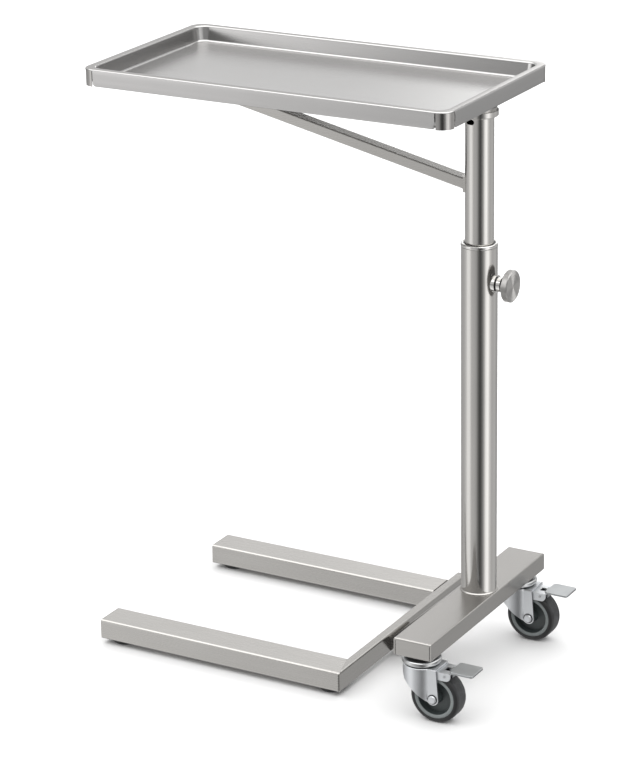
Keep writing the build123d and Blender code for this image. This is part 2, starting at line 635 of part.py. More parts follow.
def corner_cap(side_x, side_y):
    """A quarter-round corner piece between two aprons, slightly recessed."""
    outer = TRAY_CORNER - CAP_RECESS
    bottom, top = apron_bottom - CAP_DROP, rim_top - TRAY_BEND
    shell = pipe(outer, outer - TRAY_SHEET, bottom, top)
    reach = TRAY_CORNER - SEAM
    quarter = block(SEAM, SEAM + reach, SEAM, SEAM + reach, bottom, top)
    cap = shell & quarter
    turn = {(1, 1): 0, (-1, 1): 90, (-1, -1): 180, (1, -1): 270}[(side_x, side_y)]
    x = tray_x + side_x * (TRAY_LENGTH / 2 - TRAY_CORNER)
    y = side_y * (TRAY_WIDTH / 2 - TRAY_CORNER)
    return Pos(x, y, 0) * Rot(0, 0, turn) * cap


def caster_mount(y):
    """The plate welded under the beam's core, in which the kingpin is riveted."""
    half_x = BEAM_WIDTH / 2 - BEAM_SHEET - LOOSE_FIT
    half_y = CASTER_INSET - BEAM_SHEET - LOOSE_FIT
    top = core_floor - CORE_WALL
    plate = block(-half_x, half_x, y - half_y, y + half_y, top - MOUNT_PLATE, top)
    return plate - rod(kingpin_bore, CASTER_HEIGHT - 1, beam_top, 0, y)


def caster_race(y):
    """The chromed upper race: a dish with a rounded rim on a neck."""
    rim_outer = RACE_DIAMETER / 2
    rim_inner = rim_outer - RACE_RIM_WIDTH
    rim = pipe(rim_outer, rim_inner, race_rim_bottom, race_rim_top)
    outer_edges = rim.edges().filter_by(GeomType.CIRCLE).sort_by(SortBy.RADIUS)[-2:]
    rim = fillet(outer_edges, RACE_ROUNDING)
    web = rod(rim_inner + 1, race_web_bottom, race_web_bottom + RACE_WEB)
    neck = rod(RACE_NECK_DIAMETER / 2, race_web_bottom, core_floor - CORE_WALL - MOUNT_PLATE)
    race = rim + web + neck
    return Pos(0, y, 0) * (race - rod(kingpin_bore, crown_top, beam_top))


def caster_kingpin(y):
    """The riveted pin about which the fork turns."""
    shank_top = core_floor - RUNNING_FIT
    head_bottom = crown_ceiling - LOOSE_FIT - KINGPIN_HEAD
    head = rod(KINGPIN_HEAD_DIAMETER / 2, head_bottom, head_bottom + KINGPIN_HEAD)
    head = fillet(head.edges().group_by(Axis.Z)[0], KINGPIN_HEAD * 0.5)
    return Pos(0, y, 0) * (head + rod(KINGPIN_DIAMETER / 2, head_bottom + 1, shank_top))


def fork_side():
    """The outline of the fork seen from the side, tapering down to the axle boss."""
    back = -FORK_CROWN_DIAMETER / 2
    hub = (CASTER_TRAIL, wheel_radius)
    knee = crown_top - FORK_SIDE_DROP
    lean = (back + FORK_BACK_RUN, knee - FORK_BACK_DROP)
    touch = radians(FORK_BOSS_ANGLE)
    plate = make_face(Polyline(
        (back, crown_top), (back, knee), lean,
        (hub[0] + FORK_BOSS_RADIUS * cos(touch), hub[1] + FORK_BOSS_RADIUS * sin(touch)),
        (hub[0] + FORK_BOSS_RADIUS, hub[1]), (FORK_FRONT_REACH, crown_top), close=True))
    knees = plate.vertices().filter_by(lambda v: v.X < lean[0] + 1 and v.Y < knee + 1)
    plate = fillet(knees, FORK_KNEE_RADIUS)
    return plate + Pos(*hub) * Circle(FORK_BOSS_RADIUS)


def caster_fork(y):
    """The pressed fork: a round crown that runs down into two flat legs."""
    radius = FORK_CROWN_DIAMETER / 2
    depth = crown_top
    plan = Circle(radius) + Pos(CASTER_TRAIL, 0) * Rectangle(2 * CASTER_TRAIL, 2 * fork_outer)
    hollow = Circle(radius - FORK_SHEET) + Pos(CASTER_TRAIL, 0) * Rectangle(
        2 * CASTER_TRAIL + 2, 2 * fork_inner)
    side = extrude(Plane.XZ * fork_side(), radius + 1, both=True)
    body = extrude(plan, depth) & side
    body -= extrude(hollow, crown_ceiling)
    rounded = body.edges().group_by(Axis.Z)[-1].filter_by(lambda e: e.center().X < FORK_FRONT_REACH - 1)
    body = fillet(rounded, FORK_CROWN_ROUNDING)
    body -= rod(kingpin_bore, crown_ceiling - 1, crown_top + 1)
    body -= rod_y(AXLE_DIAMETER / 2 + RUNNING_FIT, -2 * radius, 2 * radius, CASTER_TRAIL, wheel_radius)
    return Pos(0, y, 0) * body


def caster_balls(y):
    """The ring of bearing balls between race and crown."""
    balls = []
    for index in range(BALL_COUNT):
        angle = 2 * pi * index / BALL_COUNT
        x = BALL_PITCH_DIAMETER / 2 * cos(angle)
        ball_y = y + BALL_PITCH_DIAMETER / 2 * sin(angle)
        z = crown_top + BALL_PLAY + BALL_DIAMETER / 2
        balls.append(Pos(x, ball_y, z) * Sphere(BALL_DIAMETER / 2))
    return Compound(balls)


def axle_bolt(y):
    """The axle, with a domed head on the front side."""
    head = rod_y(AXLE_HEAD_DIAMETER / 2, y - fork_outer - AXLE_HEAD_HEIGHT, y - fork_outer,
                 CASTER_TRAIL, wheel_radius)
    head = fillet(head.edges().group_by(Axis.Y)[0], AXLE_HEAD_HEIGHT * 0.6)
    end = y + fork_outer + AXLE_NUT_HEIGHT + AXLE_END
    return head + rod_y(AXLE_DIAMETER / 2, y - fork_outer - 1, end, CASTER_TRAIL, wheel_radius)


def axle_nut(y):
    """The hexagon nut on the axle's other end."""
    hexagon = RegularPolygon(AXLE_NUT_WIDTH / 2, 6, major_radius=False)
    nut = extrude(Plane.XZ * hexagon, -AXLE_NUT_HEIGHT)
    nut = Pos(CASTER_TRAIL, y + fork_outer, wheel_radius) * nut
    return nut - rod_y(AXLE_DIAMETER / 2 + THREAD_FIT, y, y + 2 * fork_outer, CASTER_TRAIL, wheel_radius)


def axle_sleeve(y):
    """The steel spacer on which the hub turns."""
    half = fork_inner - RUNNING_FIT
    sleeve = rod_y(SLEEVE_DIAMETER / 2, y - half, y + half, CASTER_TRAIL, wheel_radius)
    return sleeve - rod_y(AXLE_DIAMETER / 2 + RUNNING_FIT, y - half - 1, y + half + 1,
                          CASTER_TRAIL, wheel_radius)


def wheel_turned(points, y):
    """A solid of revolution about the axle from (radius, side) points."""
    body = turned(points)
    return Pos(CASTER_TRAIL, y, wheel_radius) * Rot(90, 0, 0) * body


def wheel_hub(y):
    """The hub: a rim, a thinner web and a boss that turns on the sleeve."""
    rim_half = WHEEL_WIDTH / 2 - RIM_RECESS
    boss_half = fork_inner - HUB_SIDE_GAP
    web_half = HUB_WEB / 2
    bore = SLEEVE_DIAMETER / 2 + RUNNING_FIT
    boss, inner, outer = HUB_BOSS_DIAMETER / 2, RIM_INNER_DIAMETER / 2, RIM_OUTER_DIAMETER / 2
    half_profile = [
        (bore, boss_half), (boss - HUB_DRAFT, boss_half), (boss, web_half),
        (inner - HUB_DRAFT, web_half), (inner, rim_half), (outer, rim_half)]
    mirrored = [(radius, -side) for radius, side in reversed(half_profile)]
    return wheel_turned(half_profile + mirrored, y)


def wheel_tyre(y):
    """The solid rubber tyre with rounded shoulders."""
    inner, half = RIM_OUTER_DIAMETER / 2, WHEEL_WIDTH / 2
    band = pipe(wheel_radius, inner, -half, half)
    outer_edges = band.edges().filter_by(GeomType.CIRCLE).sort_by(SortBy.RADIUS)[-2:]
    band = fillet(outer_edges, TYRE_SHOULDER)
    return Pos(CASTER_TRAIL, y, wheel_radius) * Rot(90, 0, 0) * band


def brake_bracket(y):
    """The channel over the wheel that carries the brake pedal."""
    outer = fork_inner - LOOSE_FIT
    inner = outer - BRAKE_SHEET
    start, end = BRAKE_START, BRAKE_REACH
    bottom = bracket_top - BRAKE_FLANGE_HEIGHT
    channel = block(start, end, -outer, outer, bottom, bracket_top)
    channel -= block(start - 1, end + 1, -inner, inner, bottom - 1, bracket_top - BRAKE_SHEET)
    lower_ends = channel.edges().filter_by(Axis.Y).group_by(Axis.X)[-1].group_by(Axis.Z)[0]
    channel = fillet(lower_ends, BRAKE_FLANGE_HEIGHT * 0.6)
    half_window = LEVER_WIDTH / 2 + BRAKE_WINDOW_PLAY
    channel -= block(window_end - BRAKE_WINDOW, window_end, -half_window, half_window,
                     bottom, bracket_top + 1)
    channel -= rod_y(brake_pin_bore, -outer - 1, outer + 1, BRAKE_PIN_X, brake_pin_z)
    back = start - BRAKE_TONGUE
    tongue = block(back, start, -inner, inner, bracket_top - BRAKE_SHEET, crown_ceiling)
    return Pos(0, y, 0) * (channel + tongue)


def brake_pin(y):
    """The rivet across the bracket, on which the pedal turns."""
    half = fork_inner - LOOSE_FIT + BRAKE_PIN_PROUD
    pin = rod_y(BRAKE_PIN_DIAMETER / 2, -half, half, BRAKE_PIN_X, brake_pin_z)
    return Pos(0, y, 0) * pin


def brake_pedal(y):
    """The pedal: a lipped plate on a lever with a cam over the tyre."""
    start, end = PEDAL_REACH - PEDAL_LENGTH, PEDAL_REACH
    plate = Pos((start + end) / 2, 0, pedal_top) * extrude(
        RectangleRounded(PEDAL_LENGTH, PEDAL_WIDTH, PEDAL_CORNER), -PEDAL_LIP)
    plate = fillet(plate.edges().group_by(Axis.Z)[-1], EDGE_BREAK)
    hollow = RectangleRounded(PEDAL_LENGTH - 2 * PEDAL_SHEET, PEDAL_WIDTH - 2 * PEDAL_SHEET,
                              PEDAL_CORNER - PEDAL_SHEET)
    plate -= Pos((start + end) / 2, 0, pedal_top - PEDAL_SHEET) * extrude(hollow, -PEDAL_LIP)
    under = pedal_top - PEDAL_SHEET
    pin = (BRAKE_PIN_X, brake_pin_z)
    boss = BRAKE_PIN_DIAMETER / 2 + LEVER_BOSS_WALL
    cam_x = BRAKE_PIN_X + CAM_REACH
    cam_z = wheel_radius + (wheel_radius ** 2 - (cam_x - CASTER_TRAIL) ** 2) ** 0.5 + SHOE_GAP
    throat_x = window_end - LEVER_THROAT_GAP
    lever = make_face(Polyline(
        (start + LEVER_ROOT[1], under), (start + LEVER_ROOT[0], under),
        (pin[0] - boss, pin[1] + boss / 4), (pin[0] - boss / 4, pin[1] - boss / 2),
        (cam_x - LEVER_HEEL[0], cam_z + LEVER_HEEL[1]), (cam_x, cam_z), (cam_x, pin[1]),
        (throat_x, bracket_top - BRAKE_SHEET), (throat_x, bracket_top + LEVER_THROAT_RISE),
        close=True))
    arm = extrude(Plane.XZ * lever, LEVER_WIDTH / 2, both=True)
    arm += extrude(Plane.XZ * (Pos(*pin) * Circle(boss)), LEVER_WIDTH / 2, both=True)
    arm -= rod_y(brake_pin_bore, -LEVER_WIDTH, LEVER_WIDTH, *pin)
    return Pos(0, y, 0) * (plate + arm)


foot_places = {
    "front_tip_foot": (tip_foot_x, -1), "back_tip_foot": (tip_foot_x, 1),
    "front_corner_foot": (corner_foot_x, -1), "back_corner_foot": (corner_foot_x, 1),
}

pieces = {
    "front_leg": leg(-1),
    "back_leg": leg(1),
    "leg_end_plates": Compound([end_plate(LEG_WIDTH, leg_tip_x, side * leg_y, 0) for side in (-1, 1)]),
    "cross_tube": cross_tube(),
    "cross_tube_end_plate": end_plate(
        CROSS_TUBE_WIDTH, cross_outer_x - CROSS_TUBE_WIDTH / 2, cross_back_y - END_PLATE, 90),
    "foot_screws": Compound([foot_screw(*place) for place in foot_places.values()]),
    "link_arm": link_arm(),
    "beam_shell": beam_shell(),
    "beam_core": beam_core(),
    "column_tube": column_tube(),
    "column_weld_ring": column_weld_ring(),
    "column_lip": column_lip(),
    "upper_bush": upper_bush(),
    "guide_ring": guide_ring(),
    "mast_tube": mast_tube(),
    "mast_plug": mast_plug(),
    "mast_stop_ring": stop_ring(),
    "mast_collar": mast_collar(),
    "mast_head": mast_head(),
    "tray_arm": tray_arm(),
    "brace": brace(),
    "brace_saddle": brace_saddle(),
    "support_ring": support_ring(),
    "clamp_boss": clamp_boss(),
    "clamp_pad": clamp_pad(),
    "clamp_screw": clamp_screw(),
    "clamp_knob": clamp_knob(),
    "tray_pan": tray_pan(),
    "tray_corner_caps": Compound([corner_cap(*side) for side in ((-1, -1), (-1, 1), (1, -1), (1, 1))]),
}
for name, place in foot_places.items():
    pieces[name] = foot(*place)
caster_makers = {
    "mount_plate": caster_mount, "race": caster_race, "kingpin": caster_kingpin,
    "fork": caster_fork, "balls": caster_balls, "axle_bolt": axle_bolt, "axle_nut": axle_nut,
    "axle_sleeve": axle_sleeve, "wheel_hub": wheel_hub, "wheel_tyre": wheel_tyre,
    "brake_bracket": brake_bracket, "brake_pin": brake_pin, "brake_pedal": brake_pedal,
}
for caster, swivel_y in swivel_ys.items():
    for piece, make in caster_makers.items():
        pieces[f"{caster}_{piece}"] = make(swivel_y)

for name, solid in pieces.items():
    export_step(origin_shift * solid, f"parts/{name}.step")
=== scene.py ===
"""Looks of a stainless instrument stand: a rimmed tray on a sliding mast over a low U-shaped base.

Everything is in metres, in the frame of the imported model. Each new piece is a surface worked out
as whole arrays, and its docstring gives the formula.
"""

import bpy
import numpy as np
from mathutils import Matrix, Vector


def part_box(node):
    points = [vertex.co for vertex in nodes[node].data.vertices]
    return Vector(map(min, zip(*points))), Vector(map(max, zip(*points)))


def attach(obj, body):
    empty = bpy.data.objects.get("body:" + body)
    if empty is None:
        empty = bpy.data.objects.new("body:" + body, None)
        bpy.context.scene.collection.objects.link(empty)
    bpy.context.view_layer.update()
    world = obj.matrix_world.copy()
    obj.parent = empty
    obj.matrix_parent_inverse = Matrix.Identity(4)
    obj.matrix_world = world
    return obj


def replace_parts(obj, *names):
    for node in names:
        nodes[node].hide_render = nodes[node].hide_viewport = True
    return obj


MM = 0.001

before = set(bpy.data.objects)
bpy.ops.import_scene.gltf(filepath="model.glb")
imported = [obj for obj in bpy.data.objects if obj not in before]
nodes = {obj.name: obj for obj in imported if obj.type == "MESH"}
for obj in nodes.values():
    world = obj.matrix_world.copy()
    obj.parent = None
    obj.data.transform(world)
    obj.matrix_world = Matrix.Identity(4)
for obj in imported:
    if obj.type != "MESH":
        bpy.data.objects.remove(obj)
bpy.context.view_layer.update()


# Colours, nodes and meshes

def linear(colour):
    """A hex sRGB colour as linear RGBA."""
    channels = np.array([int(colour[i:i + 2], 16) for i in (1, 3, 5)]) / 255
    low, high = channels / 12.92, ((channels + 0.055) / 1.055) ** 2.4
    return (*np.where(channels <= 0.04045, low, high).tolist(), 1.0)


def add(tree, kind, inputs=None, **settings):
    """Adds a node with its settings; an input is a value, or the output that feeds it."""
    node = tree.nodes.new(kind)
    for name, value in settings.items():
        setattr(node, name, value)
    for name, value in (inputs or {}).items():
        if isinstance(value, bpy.types.NodeSocket):
            tree.links.new(value, node.inputs[name])
        else:
            node.inputs[name].default_value = value
    return node


def new_material(name):
    """An empty material; returns it with its node tree."""
    material = bpy.data.materials.new(name)
    material.use_nodes = True
    material.node_tree.nodes.clear()
    return material, material.node_tree


def grid_faces(rows, columns, close_rows=False):
    """Quads between neighbouring rows of points. Each row is a ring, and the last row may join the first."""
    row = np.arange(rows if close_rows else rows - 1)[:, None]
    column = np.arange(columns)[None, :]
    here, next_row, next_column = row * columns, (row + 1) % rows * columns, (column + 1) % columns
    quads = np.stack([here + column, here + next_column, next_row + next_column,
                      next_row + column], axis=-1)
    return quads.reshape(-1, 4).tolist()


def piece(name, body, points, faces, material):
    """A new smooth mesh that rides on a body and is given its finish."""
    mesh = bpy.data.meshes.new(name)
    mesh.from_pydata(np.asarray(points, float).reshape(-1, 3).tolist(), [], faces)
    mesh.polygons.foreach_set("use_smooth", [True] * len(mesh.polygons))
    mesh.update()
    made = bpy.data.objects.new(name, mesh)
    bpy.context.scene.collection.objects.link(made)
    made.data.materials.append(material)
    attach(made, body)
    return made


# Materials

FINE_LENGTH = 70 * MM       # a grit line
FINE_SPACING = 0.5 * MM     # real grit lines lie 0.1 mm apart, too fine to show, so they are coarser here
BROAD_LENGTH = 320 * MM     # a pass of the belt, seen as a faint band
BROAD_SPACING = 6 * MM
CLOUD_SIZE = 130 * MM       # slow change of tone over a rolled sheet
GLOSS_SPREAD = 0.012        # how much the roughness changes from grit line to grit line
GRIT_RELIEF = 0.004 * MM
RING_SPACING = 0.5 * MM     # the lathe tool's marks, drawn coarser than real for the same reason
RING_RELIEF = 0.006 * MM
SKIN_RELIEF = 0.2 * MM      # of pressed sheet under its plating, and of moulded rubber
DUST_SIZE = 14 * MM
END_FACE = 0.8              # a face that looks this much along the brushed axis is an end face
ALONG_GRAIN = 0.25          # turns Blender's highlight so that it spreads across the tangent
FAN_TURN = 0.33             # the same for the knob, whose bright wedges lean from upright


def unit(axis):
    """The unit vector along one axis."""
    return tuple(float(index == axis) for index in range(3))


def grain(tree, place, end_face, axis, other, spacing, length):
    """Noise drawn out along the brushed axis, or along the other one on end faces."""
    scales = []
    for lengthwise in (axis, other):
        scales.append(tuple(1 / (length if index == lengthwise else spacing) for index in range(3)))
    scale = add(tree, "ShaderNodeMix", {0: end_face, 4: scales[0], 5: scales[1]}, data_type="VECTOR")
    drawn = add(tree, "ShaderNodeMapping", {"Vector": place, "Scale": scale.outputs[1]})
    noise = add(tree, "ShaderNodeTexNoise", {
        "Vector": drawn.outputs[0], "Scale": 1.0, "Detail": 2.0, "Roughness": 0.5})
    return noise.outputs["Fac"]


def brushed_steel(name, light, dark, roughness, axis, anisotropy=0.5, rim_tone=None, wall_gloss=None):
    """Stainless steel brushed along one axis with a grit belt: hardly visible parallel grit lines and
    broader passes of the belt, a blur of what is mirrored across them, and a slow drift of tone. A
    mesh may mark its rim, which gets painted shade in a darker colour, and its drawn walls, which are
    glossier."""
    material, tree = new_material(name)
    lookup = add(tree, "ShaderNodeTexCoord")
    place = lookup.outputs["Object"]
    other = 1 if axis == 0 else 0
    facing = add(tree, "ShaderNodeSeparateXYZ", {0: lookup.outputs["Normal"]})
    size = add(tree, "ShaderNodeMath", {0: facing.outputs[axis]}, operation="ABSOLUTE")
    end_face = add(tree, "ShaderNodeMath", {0: size.outputs[0], 1: END_FACE},
                   operation="GREATER_THAN").outputs[0]
    fine = grain(tree, place, end_face, axis, other, FINE_SPACING, FINE_LENGTH)
    broad = grain(tree, place, end_face, axis, other, BROAD_SPACING, BROAD_LENGTH)
    clouds = add(tree, "ShaderNodeTexNoise", {
        "Vector": place, "Scale": 1 / CLOUD_SIZE, "Detail": 2.0, "Roughness": 0.5})
    lines = add(tree, "ShaderNodeMix", {0: 0.5, 2: fine, 3: broad}, data_type="FLOAT")
    tone = add(tree, "ShaderNodeMix", {
        0: 0.4, 2: lines.outputs[0], 3: clouds.outputs["Fac"]}, data_type="FLOAT")
    tint = add(tree, "ShaderNodeValToRGB", {"Fac": tone.outputs[0]})
    tint.color_ramp.elements[0].position, tint.color_ramp.elements[0].color = 0.34, linear(dark)
    tint.color_ramp.elements[1].position, tint.color_ramp.elements[1].color = 0.66, linear(light)
    colour = tint.outputs["Color"]
    # The marked rim is tinted darker: painted shade on its flat top
    if rim_tone:
        share = add(tree, "ShaderNodeAttribute", attribute_name="rim")
        colour = add(tree, "ShaderNodeMix", {
            0: share.outputs["Fac"], 6: colour, 7: linear(rim_tone)}, data_type="RGBA").outputs[2]
    gloss = add(tree, "ShaderNodeMapRange", {
        "Value": fine, "From Min": 0.3, "From Max": 0.7,
        "To Min": roughness - GLOSS_SPREAD, "To Max": roughness + GLOSS_SPREAD}).outputs[0]
    if wall_gloss:
        share = add(tree, "ShaderNodeAttribute", attribute_name="wall")
        gloss = add(tree, "ShaderNodeMix", {
            0: share.outputs["Fac"], 2: gloss, 3: wall_gloss}, data_type="FLOAT").outputs[0]
    relief = add(tree, "ShaderNodeBump", {"Height": fine, "Strength": 0.1, "Distance": GRIT_RELIEF})
    along = add(tree, "ShaderNodeMix", {0: end_face, 4: unit(axis), 5: unit(other)}, data_type="VECTOR")
    direction = add(tree, "ShaderNodeVectorTransform", {"Vector": along.outputs[1]},
                    vector_type="VECTOR", convert_from="OBJECT", convert_to="WORLD")
    shader = add(tree, "ShaderNodeBsdfPrincipled", {
        "Base Color": colour, "Metallic": 1.0, "Roughness": gloss,
        "Anisotropic": anisotropy, "Anisotropic Rotation": ALONG_GRAIN,
        "Normal": relief.outputs[0], "Tangent": direction.outputs[0]})
    add(tree, "ShaderNodeOutputMaterial", {"Surface": shader.outputs[0]})
    return material


def turned_metal(name, light, dark, roughness, centre):
    """Steel turned on a lathe about an axis along X: fine rings round the middle, which mirror light
    as a fan of bright and dark wedges."""
    material, tree = new_material(name)
    place = add(tree, "ShaderNodeTexCoord").outputs["Object"]
    arm = add(tree, "ShaderNodeVectorMath", {0: place, 1: tuple(centre)}, operation="SUBTRACT")
    flat = add(tree, "ShaderNodeVectorMath", {0: arm.outputs[0], 1: (0, 1, 1)}, operation="MULTIPLY")
    reach = add(tree, "ShaderNodeVectorMath", {0: flat.outputs[0]}, operation="LENGTH")
    depth = add(tree, "ShaderNodeSeparateXYZ", {0: arm.outputs[0]})
    run = add(tree, "ShaderNodeCombineXYZ", {0: reach.outputs["Value"], 1: depth.outputs[0]})
    marks = add(tree, "ShaderNodeTexNoise", {
        "Vector": run.outputs[0], "Scale": 1 / RING_SPACING, "Detail": 3.0, "Roughness": 0.6})
    tint = add(tree, "ShaderNodeValToRGB", {"Fac": marks.outputs["Fac"]})
    tint.color_ramp.elements[0].position, tint.color_ramp.elements[0].color = 0.3, linear(dark)
    tint.color_ramp.elements[1].position, tint.color_ramp.elements[1].color = 0.7, linear(light)
    relief = add(tree, "ShaderNodeBump", {
        "Height": marks.outputs["Fac"], "Strength": 0.3, "Distance": RING_RELIEF})
    around = add(tree, "ShaderNodeVectorMath", {0: unit(0), 1: flat.outputs[0]},
                 operation="CROSS_PRODUCT")
    direction = add(tree, "ShaderNodeVectorTransform", {"Vector": around.outputs[0]},
                    vector_type="VECTOR", convert_from="OBJECT", convert_to="WORLD")
    shader = add(tree, "ShaderNodeBsdfPrincipled", {
        "Base Color": tint.outputs["Color"], "Metallic": 1.0, "Roughness": roughness,
        "Anisotropic": 1.0, "Anisotropic Rotation": FAN_TURN,
        "Normal": relief.outputs[0], "Tangent": direction.outputs[0]})
    add(tree, "ShaderNodeOutputMaterial", {"Surface": shader.outputs[0]})
    return material


def plated_metal(name, light, dark, roughness, spread, mottle_size, bump):
    """Plated or polished steel: a smooth mirror with a faint drift of tone from the bath, and the
    slightly uneven skin of pressed sheet under it."""
    material, tree = new_material(name)
    place = add(tree, "ShaderNodeTexCoord").outputs["Object"]
    mottle = add(tree, "ShaderNodeTexNoise", {
        "Vector": place, "Scale": 1 / mottle_size, "Detail": 4.0, "Roughness": 0.55})
    tint = add(tree, "ShaderNodeValToRGB", {"Fac": mottle.outputs["Fac"]})
    tint.color_ramp.elements[0].position, tint.color_ramp.elements[0].color = 0.3, linear(dark)
    tint.color_ramp.elements[1].position, tint.color_ramp.elements[1].color = 0.7, linear(light)
    gloss = add(tree, "ShaderNodeMapRange", {
        "Value": mottle.outputs["Fac"], "From Min": 0.3, "From Max": 0.7,
        "To Min": roughness - spread, "To Max": roughness + spread})
    relief = add(tree, "ShaderNodeBump", {
        "Height": mottle.outputs["Fac"], "Strength": bump, "Distance": SKIN_RELIEF})
    shader = add(tree, "ShaderNodeBsdfPrincipled", {
        "Base Color": tint.outputs["Color"], "Metallic": 1.0, "Roughness": gloss.outputs[0],
        "Normal": relief.outputs[0]})
    add(tree, "ShaderNodeOutputMaterial", {"Surface": shader.outputs[0]})
    return material


def moulded(name, light, dark, roughness, ior, grain_size, bump, side_axis=None, side_share=0.0):
    """Moulded rubber or plastic: a dull skin with the fine grain of its mould and a little dust.
    Faces that look along the side axis are darker, as on a tyre whose sides are darker than its tread."""
    material, tree = new_material(name)
    lookup = add(tree, "ShaderNodeTexCoord")
    place = lookup.outputs["Object"]
    skin = add(tree, "ShaderNodeTexNoise", {
        "Vector": place, "Scale": 1 / grain_size, "Detail": 6.0, "Roughness": 0.65})
    dust = add(tree, "ShaderNodeTexNoise", {
        "Vector": place, "Scale": 1 / DUST_SIZE, "Detail": 3.0, "Roughness": 0.6})
    blend = add(tree, "ShaderNodeMix", {
        0: 0.6, 2: skin.outputs["Fac"], 3: dust.outputs["Fac"]}, data_type="FLOAT")
    tint = add(tree, "ShaderNodeValToRGB", {"Fac": blend.outputs[0]})
    tint.color_ramp.elements[0].position, tint.color_ramp.elements[0].color = 0.35, linear(dark)
    tint.color_ramp.elements[1].position, tint.color_ramp.elements[1].color = 0.7, linear(light)
    colour = tint.outputs["Color"]
    if side_axis is not None:
        facing = add(tree, "ShaderNodeSeparateXYZ", {0: lookup.outputs["Normal"]})
        size = add(tree, "ShaderNodeMath", {0: facing.outputs[side_axis]}, operation="ABSOLUTE")
        share = add(tree, "ShaderNodeMapRange", {
            "Value": size.outputs[0], "From Min": 0.1, "From Max": 0.8, "To Max": side_share})
        colour = add(tree, "ShaderNodeMix", {
            0: share.outputs[0], 6: colour, 7: linear(dark)}, data_type="RGBA").outputs[2]
    gloss = add(tree, "ShaderNodeMapRange", {
        "Value": dust.outputs["Fac"], "From Min": 0.3, "From Max": 0.7,
        "To Min": roughness - 0.06, "To Max": roughness + 0.06})
    relief = add(tree, "ShaderNodeBump", {
        "Height": skin.outputs["Fac"], "Strength": bump, "Distance": SKIN_RELIEF})
    shader = add(tree, "ShaderNodeBsdfPrincipled", {
        "Base Color": colour, "Roughness": gloss.outputs[0], "IOR": ior,
        "Normal": relief.outputs[0]})
    add(tree, "ShaderNodeOutputMaterial", {"Surface": shader.outputs[0]})
    return material


knob_low, knob_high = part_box("clamp_knob")
knob_middle = (knob_low + knob_high) / 2

# Welded stainless tube and folded sheet, brushed along their length: soft pale grey, with light
# smeared across the grain; the column and mast are finer, almost mirrors
steel_x = brushed_steel("brushed_stainless_along_x", "#a6a4a1", "#a09e9b", 0.27, 0)
steel_y = brushed_steel("brushed_stainless_along_y", "#a6a4a1", "#a09e9b", 0.25, 1)
steel_z = brushed_steel("brushed_tube_along_z", "#bfbdba", "#b7b5b2", 0.17, 2, 0.3)
# Drawn and satin-finished stainless sheet: even grey, with a rim painted darker as painted shade, and
# glossier walls
tray_steel = brushed_steel(
    "satin_tray_sheet", "#aaa9a8", "#a4a3a2", 0.23, 0, 0.5, rim_tone="#8a8886", wall_gloss=0.18)
# Buffed stainless: clear, slightly soft mirrors on the small bent pieces
polished = plated_metal("polished_stainless", "#c9c8c6", "#bdbbb8", 0.12, 0.03, 30 * MM, 0.02)
cap_steel = plated_metal("polished_corner_caps", "#a9a7a5", "#9d9b99", 0.14, 0.02, 30 * MM, 0.01)
# Stainless bar turned on a lathe: a fan of light round the middle of the knob
turned_steel = turned_metal("turned_knob_steel", "#c2c1bf", "#a8a6a4", 0.52, knob_middle)
# Chrome, the sharpest mirror here, and zinc, bluish and duller, over pressed and turned steel
chrome = plated_metal("bright_chrome_plate", "#d4d5d6", "#c8c9ca", 0.08, 0.02, 25 * MM, 0.02)
race_steel = plated_metal("satin_plated_race", "#b9baba", "#adaeae", 0.30, 0.03, 25 * MM, 0.01)
zinc = plated_metal("bright_zinc_plate", "#cbcdcf", "#c3c5c7", 0.42, 0.03, 22 * MM, 0.01)
pedal_zinc = plated_metal("dull_zinc_pedal", "#9c9e9f", "#939596", 0.38, 0.03, 22 * MM, 0.01)
fastener = plated_metal("zinc_fastener_steel", "#b1b2b3", "#a0a1a3", 0.30, 0.04, 8 * MM, 0.02)
# Turned brass: dull yellow
brass = plated_metal("turned_brass", "#c9a45c", "#b58f48", 0.28, 0.05, 8 * MM, 0.03)
# Moulded rubber and nylon: dark, with a broad weak sheen; the tyre's tread is paler than its sides
black_rubber = moulded("black_foot_rubber", "#242425", "#181819", 0.62, 1.5, 1.2 * MM, 0.2)
tyre_rubber = moulded("dark_grey_tyre_rubber", "#47484a", "#131314", 0.55, 1.5, 1.5 * MM, 0.1, 1, 1.0)
hub_nylon = moulded("dark_hub_nylon", "#353b3b", "#2b3131", 0.42, 1.5, 1.0 * MM, 0.1)
rim_nylon = moulded("grey_hub_rim_nylon", "#747979", "#686d6d", 0.45, 1.5, 1.0 * MM, 0.1)
black_nylon = moulded("black_guide_nylon", "#1c1c1d", "#121213", 0.45, 1.5, 1.0 * MM, 0.1)

slot_finish = {
    "brushed_stainless": steel_x, "satin_tray_stainless": tray_steel,
    "polished_stainless": polished, "turned_knob": turned_steel, "bright_chrome": chrome,
    "zinc_plate": zinc, "steel_fastener": fastener, "black_rubber": black_rubber,
    "grey_tyre": tyre_rubber, "grey_hub": hub_nylon, "black_nylon": black_nylon, "brass": brass,
}
own_finish = {
    "cross_tube": steel_y, "cross_tube_end_plate": steel_y, "beam_shell": steel_y,
    "beam_core": steel_y, "column_tube": steel_z, "mast_tube": steel_z, "mast_collar": steel_z,
    "leg_end_plates": steel_y, "tray_corner_caps": cap_steel,
}
CASTERS = ("front_caster", "back_caster")
for caster in CASTERS:
    own_finish[f"{caster}_race"] = race_steel
    own_finish[f"{caster}_brake_pedal"] = pedal_zinc
for name, node in nodes.items():
    slot_name = node.data.materials[0].name.split(".")[0]
    for index in range(len(node.material_slots)):
        node.material_slots[index].material = own_finish.get(name, slot_finish[slot_name])


# The tray

